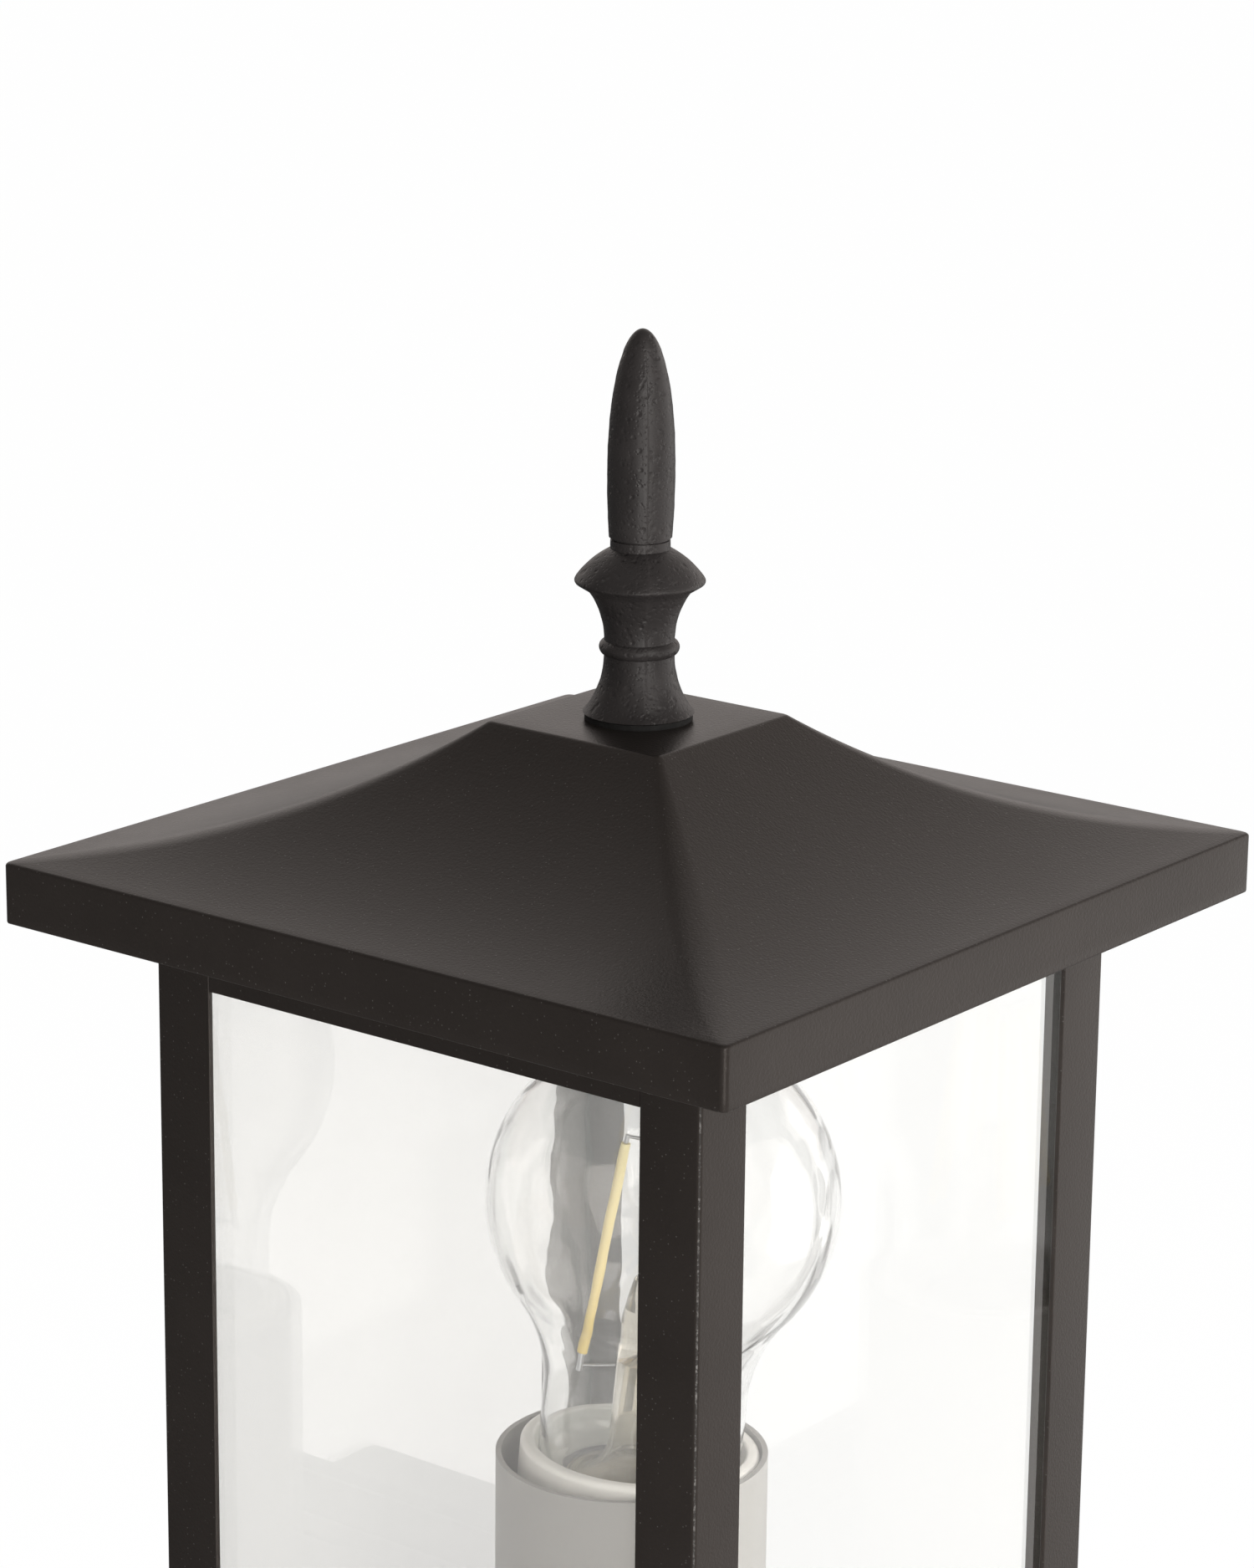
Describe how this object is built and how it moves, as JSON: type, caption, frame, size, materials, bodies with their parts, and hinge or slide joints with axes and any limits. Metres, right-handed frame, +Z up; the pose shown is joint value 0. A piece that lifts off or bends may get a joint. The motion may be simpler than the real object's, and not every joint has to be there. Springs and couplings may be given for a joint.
{
  "type": "outdoor wall light",
  "caption": "Square outdoor wall lantern: concave hipped metal roof, cast spear finial and clear panes over a bare bulb, carried from a wall plate by a bent tube arm.",
  "frame": {"origin": "centre of the wall bracket's back face, on the wall", "axes": "+Z up, -Y out from the wall towards the viewer, +X to the right as seen from the front"},
  "size_m": [0.152, 0.186, 0.4075],
  "materials": {
    "powder_black": "satin, fine grain powder coat",
    "cast_black": "satin over a pitted casting",
    "seal_rubber": "matte",
    "zinc_steel": "bright zinc plate",
    "brass": "bright",
    "white_moulding": "satin",
    "clear_glass": "clear float glass",
    "bulb_glass": "clear blown glass",
    "filament_coating": "yellow phosphor coating",
    "cap_alloy": "bright",
    "black_glass": "glossy",
    "cement": "matte baked cement",
    "brown_sheath": "satin",
    "blue_sheath": "satin",
    "green_sheath": "satin"
  },
  "bodies": {
    "fitting": {"roof": "powder_black", "roof_stud": "zinc_steel", "stud_nuts": "zinc_steel", "roof_bridge": "zinc_steel", "top_frame": "powder_black", "post_front_left": "powder_black", "post_front_right": "powder_black", "post_rear_right": "powder_black", "post_rear_left": "powder_black", "pane_front": "clear_glass", "pane_right": "clear_glass", "pane_rear": "clear_glass", "pane_left": "clear_glass", "glass_ledge": "powder_black", "bottom_pan": "powder_black", "holder_strap": "zinc_steel", "holder_screws": "zinc_steel", "holder_sleeve": "white_moulding", "holder_body": "white_moulding", "screw_shell": "brass", "centre_contact": "brass", "holder_terminals": "brass", "bulb_glass": "bulb_glass", "bulb_stem": "bulb_glass", "bulb_filaments": "filament_coating", "bulb_wires": "zinc_steel", "bulb_cap": "cap_alloy", "bulb_cement": "cement", "bulb_insulator": "black_glass", "bulb_contact": "cap_alloy", "pan_nipple": "zinc_steel", "pan_nut": "zinc_steel", "pan_collar": "powder_black", "arm_tube": "powder_black", "wall_collar": "powder_black", "wall_nipple": "zinc_steel", "wall_nut": "zinc_steel", "wall_plate": "powder_black", "wall_seal": "seal_rubber", "wall_bracket": "zinc_steel", "plate_studs": "zinc_steel", "cap_nuts": "powder_black", "terminal_block": "white_moulding", "terminal_inserts": "brass", "terminal_screws": "zinc_steel", "earth_screws": "brass", "earth_lugs": "brass", "lead_live": "brown_sheath", "lead_neutral": "blue_sheath", "lead_earth": "green_sheath"},
    "washer": {"finial_washer": "seal_rubber"},
    "finial": {"finial": "cast_black"}
  },
  "joints": [
    {"name": "finial_rise", "type": "slide", "parent": "fitting", "child": "washer", "axis": [0, 0, 1], "range_m": [0, 0.009]},
    {"name": "finial_turn", "type": "hinge", "parent": "washer", "child": "finial", "pos_m": [0, -0.11, 0.2768], "axis": [0, 0, 1], "range_deg": [0, 3245]}
  ],
  "couplings": [
    {"joint": "finial_turn", "follows": "finial_rise", "rad_per_m": 6283.2}
  ]
}
